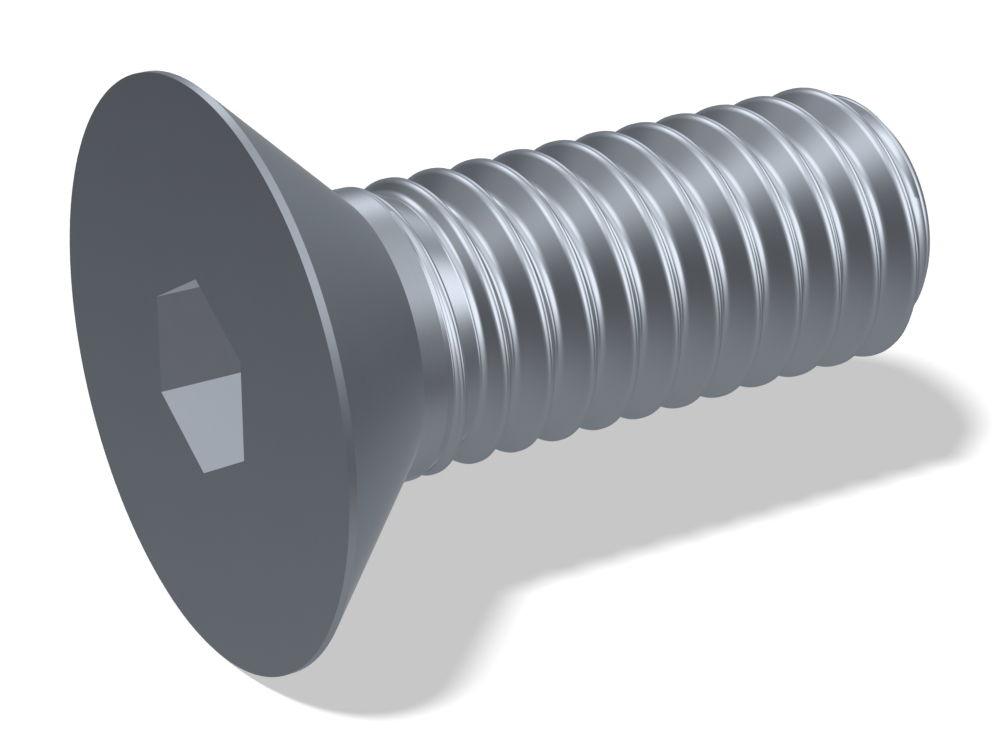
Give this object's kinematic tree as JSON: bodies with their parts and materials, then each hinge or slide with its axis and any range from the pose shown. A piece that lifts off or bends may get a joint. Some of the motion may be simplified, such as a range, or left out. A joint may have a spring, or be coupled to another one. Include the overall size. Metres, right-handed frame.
{
  "type": "countersunk socket screw",
  "caption": "Countersunk machine screw with a flat conical head, a hexagon socket, a short plain neck and a coarse right-hand thread that ends in a chamfered tip",
  "frame": {"origin": "the middle of the head's flat face, on the screw's axis, at the plane that the screw stands on", "axes": "+Z runs along the screw's axis from the head to the tip; +X points at one corner of the hexagon socket; the screw stands on the flat face of its head"},
  "size_m": [0.012, 0.012, 0.016],
  "materials": {
    "steel": "smooth bright steel with a slight blue-grey cast and fine turning marks, clean and without wear"
  },
  "bodies": {
    "root": {"screw": "steel"}
  },
  "joints": []
}
